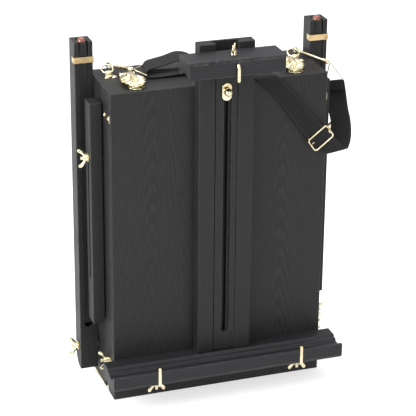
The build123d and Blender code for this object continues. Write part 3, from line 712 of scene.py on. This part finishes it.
def latch_base(x, pivot):
    """The plate on the box, with its ears, pin, screws and back tab."""
    parts = [shift(plate(rounded(scallop(30, 30, 5, 0.10), 1), 1.5, 0.5), x, pivot.y - 6 * mm, top)]
    for ear in (-11.5, 11.5):
        outline = rounded([(-6.5, 0), (6.5, 0), (5.5, 6), (2.5, 9.2), (-2.5, 9.2), (-5.5, 6)])
        ear_points, ear_faces = plate(outline, 1.8, 0.4)
        ear_x = x + ear * mm - 0.9 * mm
        ear_points = [Vector((ear_x + p[2], pivot.y + p[0], top + p[1])) for p in ear_points]
        parts.append((ear_points, ear_faces))
    pin = lathe([(0.2, 0), (1.5, 0), (1.5, 25), (0.2, 25)], 16)
    parts.append(placed(pin, (x - 12.5 * mm, pivot.y, pivot.z), (1, 0, 0), (0, 0, 1)))
    parts.append(screw_at((x - 6 * mm, pivot.y + 7.5 * mm, top + 1.4 * mm), across=(0.3, 0.9, 0)))
    parts.append(screw_at((x + 6 * mm, pivot.y + 7.5 * mm, top + 1.4 * mm), across=(0.9, 0.2, 0)))
    tab = rounded([(-6, 0), (-7.5, 5), (-5, 9), (0, 10.5), (5, 9), (7.5, 5), (6, 0)])
    parts.append(shift(plate(tab, 1.6, 0.5, rise=0.8), x, pivot.y + 4 * mm, top))
    return parts


def latch_lever(x, pivot, front):
    """A domed, fluted shell with a raised bar down its middle, and the wire bail it pulls."""
    shell_middle = Vector((x, pivot.y - 32 * mm, pivot.z + 1.2 * mm))
    shell_points, shell_faces = plate(rounded(scallop(43, 56, latch_lobes, 0.13), 1), 2.2, 0.7, rise=3.8)
    lever = [shift((shell_points, shell_faces), *shell_middle)]
    for k in range(latch_lobes):
        angle = math.radians(first_flute + flute_step * k)
        flute = [
            shell_middle + Vector((r * math.cos(angle), 1.42 * r * math.sin(angle), z)) * mm
            for r, z in ((6.5, 5.6), (12.5, 4.6), (18.6, 2.4))
        ]
        lever.append(wire(flute, 1.9 * mm, 8, 3))
    spine_route = ((24, 3.6), (16, 6.6), (4, 7.8), (-10, 7.0), (-21, 4.2))
    spine = [shell_middle + Vector((0, y * mm, z * mm)) for y, z in spine_route]
    lever.append(flat_bar(spine, 8.5, 4.4))
    dome = lathe([(7.4, 0), (7.2, 1.2), (5.8, 3.0), (3.4, 4.2), (0.3, 4.6)], 28)
    lever.append(placed(dome, shell_middle + Vector((0, 11 * mm, 5.2 * mm)), (0, 0, 1), (1, 0, 0)))
    sleeve = lathe([(1.6, 0), (3.2, 0), (3.2, 19.6), (1.6, 19.6)], 20)
    lever.append(placed(sleeve, (x - 9.8 * mm, pivot.y, pivot.z), (1, 0, 0), (0, 0, 1)))
    for arm in (-6, 6):
        arm_start = (x + arm * mm, pivot.y, pivot.z + 0.5 * mm)
        arm_end = (x + arm * mm, pivot.y - 9 * mm, pivot.z + 2.4 * mm)
        lever.append(flat_bar([arm_start, arm_end], 4, 3))
    bail_y = front + bail_radius + 0.6 * mm
    half_bail = [
        (12.5 * mm, pivot.y - 22 * mm, pivot.z + 2 * mm),
        (13 * mm, bail_y + 14 * mm, pivot.z + 1.6 * mm),
        (11 * mm, bail_y + 3 * mm, pivot.z + 1.2 * mm),
        (6 * mm, bail_y, pivot.z + 1.2 * mm),
    ]
    bail = [(x - dx, y, z) for dx, y, z in half_bail]
    bail += [(x + dx, y, z) for dx, y, z in reversed(half_bail)]
    lever.append(wire(bail, bail_radius, 10, 6))
    return lever


def latch_keeper(x):
    """The plate on the lid, with the lip that the bail catches."""
    keeper_y = lid_face + 20 * mm
    keeper = [shift(plate(rounded(scallop(27, 26, 4, 0.12), 1), 1.4, 0.5), x, keeper_y + 2 * mm, top)]
    lip = [
        (x - 7 * mm, keeper_y - 2 * mm, top + 2.6 * mm),
        (x, keeper_y - 3 * mm, top + 3.0 * mm),
        (x + 7 * mm, keeper_y - 2 * mm, top + 2.6 * mm),
    ]
    keeper.append(wire(lip, 1.5 * mm, 10, 5))
    keeper.append(screw_at((x - 8 * mm, keeper_y + 1 * mm, top + 1.2 * mm), across=(0.2, 0.9, 0)))
    keeper.append(screw_at((x + 8 * mm, keeper_y + 1 * mm, top + 1.2 * mm), across=(0.8, -0.4, 0)))
    return keeper


for side_name in ("left", "right"):
    low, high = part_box("latch_" + side_name)
    x = (low.x + high.x) / 2
    pivot = Vector(joints["latch_turn_" + side_name]["pos_m"])
    latch = "latch_" + side_name
    fit("latch_base_" + side_name, latch_base(x, pivot), "box", "brass")
    fit("latch_shell_" + side_name, latch_lever(x, pivot, low.y), latch, "brass", latch)
    fit("latch_keeper_" + side_name, latch_keeper(x), "lid", "brass")
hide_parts("latch_plates")
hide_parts("latch_keepers")

# ------------------------------------------------------------------ strap rings and their lobed plates
ring_radius = 10
ring_places = {"left": (-162.0, 88.0), "right": (161.0, 76.0)}
for side_name, (x, y) in ring_places.items():
    lobes = []
    for dx, dy, radius, height in ((-6.2, -6.6, 4.6, 1.9), (6.2, -6.6, 4.6, 1.9), (0, 1.5, 5.2, 1.8)):
        rim = [(radius, 0), (radius, 1.0), (radius * 0.8, height)]
        crown = [(radius * 0.4, height + 0.4), (0.2, height + 0.5)]
        lobe = lathe(rim + crown, 24)
        lobes.append(placed(lobe, at(x + dx, y + dy, top / mm), (0, 0, 1), (1, 0, 0)))
    web = rounded([(-8, -6), (0, -3), (8, -6), (7, 2), (5.5, 9), (-5.5, 9), (-7, 2)])
    lobes.append(shift(plate(web, 1.5, 0.4), x * mm, at(0, y, 0).y, top))
    for dx in (-6.2, 6.2):
        lobes.append(screw_at(at(x + dx, y - 6.6, top / mm + 1.7), radius=2.3, height=1.4, across=(dx, 3, 0)))
    barrel = lathe([(1.9, 0), (3.4, 0.0), (3.7, 0.5), (3.7, 10.5), (3.4, 11.0), (1.9, 11.0)], 24)
    lobes.append(placed(barrel, at(x - 5.5, y + 7, top / mm + 3.6), (1, 0, 0), (0, 0, 1)))
    fit("ring_plate_" + side_name, lobes, "box", "brass")
    centre = at(x, y + 15.6, top / mm + 7.3)
    tilt = math.radians(24)
    loop = []
    for k in range(16):
        angle = 2 * math.pi * k / 16
        wide = ring_radius * mm * math.cos(angle)
        back = ring_radius * mm * math.sin(angle)
        loop.append(centre + Vector((wide, back * math.cos(tilt), back * math.sin(tilt))))
    fit("strap_ring_" + side_name, [wire(loop, 1.5 * mm, 14, 4, closed=True)], "box", "brass")
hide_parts("ring_plates")
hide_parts("strap_rings")

# ------------------------------------------------------------------ snap hooks and their wire loops
hooks = {
    "left": {
        "bar": (at(-152, 113, 559), at(-124, 79, 561)),
        "loop": (at(-109, 54, 557), at(-101, 94, 563)),
    },
    "right": {
        "bar": (at(169.5, 90, 560.5), at(216.5, 64, 543.0)),
        "loop": (at(217.0, 83.7, 502.3), at(240.0, 57.2, 512.3)),
    },
}
for side_name, ends in hooks.items():
    start, end = ends["bar"]
    run = end - start
    length = run.length / mm
    swivel = [(0.3, 0.0), (2.4, 0.3), (3.5, 1.4), (3.7, 3.0), (3.0, 4.4), (2.6, 6.0)]
    collar = [(2.6, 0.7), (3.2, 0.74), (3.7, 0.8), (3.7, 0.92), (2.8, 0.97), (0.3, 1.0)]
    barrel = lathe(swivel + [(radius, share * length) for radius, share in collar], 24)
    parts = [placed(barrel, start, run, (0, 0, 1))]
    # the hook's nose, round the ring
    direction = run.normalized()
    nose = []
    for k in range(8):
        angle = math.radians(-70 + 40 * k)
        reach = 4.5 * mm + 4.6 * mm * math.cos(angle)
        nose.append(start - direction * reach + Vector((0, 0, 4.6 * mm * math.sin(angle))))
    parts.append(wire(nose, 1.6 * mm, 12, 5))
    first, second = ends["loop"]
    eye = end + direction * 1.5 * mm
    loop = [eye, eye.lerp(first, 0.5), first.lerp(eye, 0.08), first.lerp(second, 0.06)]
    loop += [first.lerp(second, 0.5), first.lerp(second, 0.94), second.lerp(eye, 0.08), eye.lerp(second, 0.5)]
    parts.append(wire(loop, 0.9 * mm, 10, 5, closed=True))
    fit("snap_hook_" + side_name, parts, "box", "brass")
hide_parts("snap_hooks")

# ------------------------------------------------------------------ small screws on the straps and brackets
side_face = half_width / mm
screws_lid = []
for side in (-1, 1):
    for y in (9, 31):
        bracket_screw = at(side * (side_face + 1.3), y, 506.5)
        screws_lid.append(placed(screw_part(3.0, 1.8), bracket_screw, (side, 0, 0), (0, 0.5, 0.8)))
    strap_screw = at(side * (side_face + 1.4), 9, 64)
    screws_lid.append(placed(screw_part(2.6, 1.6), strap_screw, (side, 0, 0), (0, 0.8, 0.3)))
fit("lid_side_screws", screws_lid, "lid", "brass")
for name, body in (("leg_band_left", "leg_left"), ("leg_band_right", "leg_right")):
    low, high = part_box(name)
    heads = []
    for side in (-1, 1):
        x = low.x + 0.9 * mm if side < 0 else high.x - 0.9 * mm
        seat = (x, (low.y + high.y) / 2 + 1 * mm, (low.z + high.z) / 2)
        heads.append(placed(screw_part(2.3, 1.2), seat, (side, 0, 0), (0, 0.7, 0.7)))
    fit(name + "_screws", heads, body, "brass")

# ------------------------------------------------------------------ the strap


def strap_strip(name, pairs, per_run=8, cup=0.0):
    """Webbing through pairs of edge points, (x, behind the lid's face, z) in millimetres.

    Returns the piece and its length in metres."""
    left = smooth_line([at(*pair[0]) for pair in pairs], per_run)
    right = smooth_line([at(*pair[1]) for pair in pairs], per_run)
    across = 14
    stations = len(left)
    shares = [k / across for k in range(across + 1)]
    travelled = 0.0
    lengths = [0.0]
    for k in range(1, stations):
        middle = (left[k] + right[k]) / 2
        before = (left[k - 1] + right[k - 1]) / 2
        travelled += (middle - before).length
        lengths.append(travelled)
    points = []
    for k in range(stations):
        wide = right[k] - left[k]
        after = (left[min(k + 1, stations - 1)] + right[min(k + 1, stations - 1)]) / 2
        before = (left[max(k - 1, 0)] + right[max(k - 1, 0)]) / 2
        normal = (after - before).cross(wide).normalized()
        ring = []
        for side in (1, -1):
            order = shares if side > 0 else list(reversed(shares))
            for share in order:
                rim = abs(share - 0.5) * 2
                thick = webbing_thick / 2 * (1.0 if rim < 0.97 else 0.55)
                bow = cup * (1 - (2 * share - 1) ** 2)
                ring.append(left[k] + wide * share + normal * (side * thick + bow) * mm)
        points.extend(ring)
    loop = len(ring)
    faces = []
    for k in range(stations - 1):
        for s in range(loop):
            a = k * loop + s
            b = k * loop + (s + 1) % loop
            faces.append((a, b, b + loop, a + loop))
    faces.append(tuple(reversed(range(loop))))
    faces.append(tuple(range((stations - 1) * loop, stations * loop)))
    piece = mesh_piece(name, points, faces, strap_cloth)
    layer = piece.data.uv_layers.new(name="strap")
    widths = [share * webbing_width * mm for share in shares + shares[::-1]]
    for corner in piece.data.loops:
        station, s = divmod(corner.vertex_index, loop)
        layer.data[corner.index].uv = (widths[s], lengths[station])
    length = lengths[-1]
    return piece, length


# edge pairs: the first edge starts at the front, the second at the back
top_run = [
    ((-110, 56, 558.5), (-103, 94, 563.5)),
    ((-107, 57, 562.5), (-100, 94, 567.5)),
    ((-98, 60, 565.0), (-92, 96, 569.5)),
    ((-77, 64, 566.5), (-69, 99, 572.5)),
    ((-57, 60, 573.5), (-49, 92, 580.5)),
    ((-42, 57, 572.0), (-30, 91, 577.0)),
    ((-22, 55, 561.0), (-8, 91, 563.0)),
    ((-4, 52, 553.4), (16, 88, 553.8)),
    ((10, 48.5, 552.2), (48, 68, 552.6)),
    ((26, 40, 552.0), (73, 40, 552.0)),
]
under_run = [
    ((-110, 56, 557.5), (-103, 94, 562.0)),
    ((-112, 55, 555.5), (-105, 93, 560.0)),
    ((-104, 53, 552.6), (-98, 91, 556.5)),
    ((-86, 51, 552.6), (-80, 88.5, 554.0)),
    ((-62, 51, 553.4), (-58, 88.5, 552.8)),
    ((-38, 52, 554.2), (-34, 89.5, 552.6)),
    ((-16, 53, 554.6), (-12, 90.5, 552.4)),
]
front_run = [
    ((26, 40, 552.0), (73, 40, 552.0)),
    ((41, 22, 552.0), (87, 20, 552.2)),
    ((52, 7, 552.2), (95, 7, 553.0)),
    ((58, -0.5, 550.4), (99, 1, 551.8)),
    ((61.5, -3.6, 546.0), (103.5, -3.8, 547.0)),
    ((68, -4.0, 541.0), (110, -5.0, 539.5)),
    ((79, -4.0, 530.5), (120, -6.0, 528.5)),
    ((92, -4.0, 515.5), (130, -7.0, 517.2)),
    ((104, -4.5, 501.5), (139, -7.6, 506.0)),
    ((116, -5.4, 485.5), (149, -8.0, 493.0)),
    ((129, -6.2, 467.0), (160, -8.5, 480.0)),
    ((143, -7.0, 449.0), (172, -9.0, 466.0)),
    ((158.5, -8.0, 430.5), (186, -10.0, 450.0)),
    ((170, -8.0, 417.5), (197.5, -11.0, 438.0)),
    ((178, -8.4, 411.5), (208, -12.0, 427.0)),
    ((184, -7.5, 408.6), (217, -12.5, 418.0)),
    ((190, -2.0, 408.8), (223.5, -9.0, 414.8)),
    ((197, 8.0, 414.5), (229, -1.0, 415.0)),
    ((204, 19.0, 423.5), (235, 6.0, 422.5)),
    ((207.5, 30.0, 434.5), (240, 16.0, 436.5)),
    ((210.5, 36.0, 441.0), (242.8, 28.0, 452.0)),
    ((211.8, 40.0, 448.0), (243.6, 40.0, 465.0)),
]
side_run = [
    ((211.8, 40.0, 448.0), (243.6, 40.0, 465.0)),
    ((212.3, 54.0, 464.5), (243.5, 46.0, 478.0)),
    ((213.8, 69.0, 483.0), (242.6, 51.0, 494.0)),
    ((217.0, 82.0, 499.0), (241.2, 55.5, 509.0)),
    ((217.6, 83.5, 502.5), (240.6, 57.0, 512.5)),
    ((216.4, 84.0, 502.5), (239.4, 57.5, 512.5)),
    ((214.8, 81.5, 498.0), (238.0, 55.0, 508.0)),
    ((212.2, 74.0, 489.0), (238.3, 50.0, 498.0)),
]
strap_pieces = {
    "strap_over_top": (top_run, "draped", "strap_top", ["box_frame", "snap_hook_left"]),
    "strap_under_layer": (under_run, "draped", None, ["box_frame", "snap_hook_left"]),
    "strap_over_face": (front_run, "draped", "strap_front", ["lid_panel", "lid_frame"]),
    "strap_side_run": (side_run, "hung", None, ["snap_hook_right"]),
}
# the strap lies over the lid; every strap piece rides on the box,
# and the front run gets a mesh of its own
for name, (pairs, held, node, rests) in strap_pieces.items():
    piece, length = strap_strip(name, pairs, cup=0.5)
    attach(piece, "box")
    if node:
        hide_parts(node)
    if name == "strap_over_face":
        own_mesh(piece)

# ------------------------------------------------------------------ the strap's buckle
buckle_middle = at(172.7, -11.2, 439.6)
buckle_across = (at(186, -12.0, 450.0) - at(158.5, -10.4, 430.5)).normalized()
buckle_out = Vector((0.05, -1, 0.03)).normalized()
buckle_axes = axes_for(buckle_out, buckle_across)
rim = []
for cx, cy, start in ((15.6, 7.6, 0), (-15.6, 7.6, 90), (-15.6, -7.6, 180), (15.6, -7.6, 270)):
    for k in range(4):
        angle = math.radians(start + 30 * k)
        corner = Vector(((cx + 4.6 * math.cos(angle)) * mm, (cy + 4.6 * math.sin(angle)) * mm, 0.6 * mm))
        rim.append(buckle_middle + buckle_axes @ corner)
# the centre bar passes behind the webbing and its ends show at the frame
bar_route = [(-21.4, 0.8), (-18.5, -0.6), (-16, -3.4), (0, -4.2), (16, -3.4), (18.5, -0.6), (21.4, 0.8)]
bar = [buckle_middle + buckle_axes @ Vector((u * mm, 0, h * mm)) for u, h in bar_route]
frame_wire = wire(rim, 1.5 * mm, 12, 3, closed=True)
bar_wire = wire(bar, 1.3 * mm, 10, 4)
buckle = join_parts("strap_buckle_frame", [frame_wire, bar_wire], brass_bright)
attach(buckle, "box")
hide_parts("strap_buckle")
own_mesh(buckle)

# ------------------------------------------------------------------ floor, light and camera
floor_mesh = bpy.data.meshes.new("floor")
floor_half = 9
floor_level = -0.0004
floor_corners = [
    (x * floor_half, y * floor_half, floor_level) for x, y in ((-1, -1), (1, -1), (1, 1), (-1, 1))
]
floor_mesh.from_pydata(floor_corners, [], [(0, 1, 2, 3)])
floor = bpy.data.objects.new("floor", floor_mesh)
bpy.context.scene.collection.objects.link(floor)
floor_shader = Shader("floor_white")
floor_shader.surface.inputs["Emission Color"].default_value = (1, 1, 1, 1)
floor_shader.surface.inputs["Emission Strength"].default_value = 0.62
floor_mesh.materials.append(floor_shader.set(colour=(0.5, 0.5, 0.5, 1), rough=0.9, specular=0.1))

world = bpy.data.worlds.new("studio")
bpy.context.scene.world = world
world.use_nodes = True
# white behind the easel; for lighting, a soft room that is brightest overhead and to the left
sky = world.node_tree
background = sky.nodes["Background"]
direction = sky.nodes.new("ShaderNodeTexCoord").outputs["Generated"]
axes = sky.nodes.new("ShaderNodeSeparateXYZ")
sky.links.new(direction, axes.inputs[0])


def sky_ramp(axis, start, end, at_start, at_end):
    """A strength that changes from one direction to another along an axis."""
    ramp = sky.nodes.new("ShaderNodeMapRange")
    sky.links.new(axes.outputs[axis], ramp.inputs["Value"])
    ramp.inputs["From Min"].default_value = start
    ramp.inputs["From Max"].default_value = end
    ramp.inputs["To Min"].default_value = at_start
    ramp.inputs["To Max"].default_value = at_end
    return ramp.outputs[0]


overhead = sky_ramp("Z", 0.0, 0.75, 0.38, 1.25)
leftward = sky_ramp("X", -0.2, -0.95, 0.0, 0.75)
room = sky.nodes.new("ShaderNodeMath")
sky.links.new(overhead, room.inputs[0])
sky.links.new(leftward, room.inputs[1])
seen = sky.nodes.new("ShaderNodeLightPath").outputs["Is Camera Ray"]
strength = sky.nodes.new("ShaderNodeMix")
sky.links.new(seen, strength.inputs["Factor"])
sky.links.new(room.outputs[0], strength.inputs[2])
strength.inputs[3].default_value = 1.0
sky.links.new(strength.outputs[0], background.inputs["Strength"])
background.inputs["Color"].default_value = (1, 1, 1, 1)


def area_light(name, place, aim, size, power):
    """A square studio light at a place, turned towards its aim."""
    light = bpy.data.lights.new(name, "AREA")
    light.energy = power
    light.size = size
    lamp = bpy.data.objects.new(name, light)
    lamp.location = place
    lamp.rotation_euler = (Vector(aim) - Vector(place)).to_track_quat("-Z", "Y").to_euler()
    bpy.context.scene.collection.objects.link(lamp)


area_light("key", (-2.6, -0.7, 1.9), (0, 0, 0.3), 1.4, 75)
area_light("over", (0.3, 0.2, 2.8), (0, 0, 0.3), 1.6, 30)
area_light("front", (0.6, -3.4, 1.4), (0, 0, 0.3), 1.8, 22)

scene = bpy.context.scene
scene.view_settings.view_transform = "Standard"
scene.view_settings.look = "None"

yaw = math.radians(-19.28)
pitch = math.radians(22.93)
roll = math.radians(0.51)
forward = Vector((-math.sin(yaw) * math.cos(pitch), math.cos(yaw) * math.cos(pitch), -math.sin(pitch)))
level_right = Vector((math.cos(yaw), math.sin(yaw), 0))
level_up = level_right.cross(forward)
right = math.cos(roll) * level_right + math.sin(roll) * level_up
up = -math.sin(roll) * level_right + math.cos(roll) * level_up
camera_data = bpy.data.cameras.new("camera")
camera_data.lens = 150.57
camera_data.sensor_width = 36.0
camera = bpy.data.objects.new("camera", camera_data)
place = Vector((-0.8983, -2.5741, 1.4583))
camera.matrix_world = Matrix.Translation(place) @ Matrix((right, up, -forward)).transposed().to_4x4()
scene.collection.objects.link(camera)
scene.camera = camera
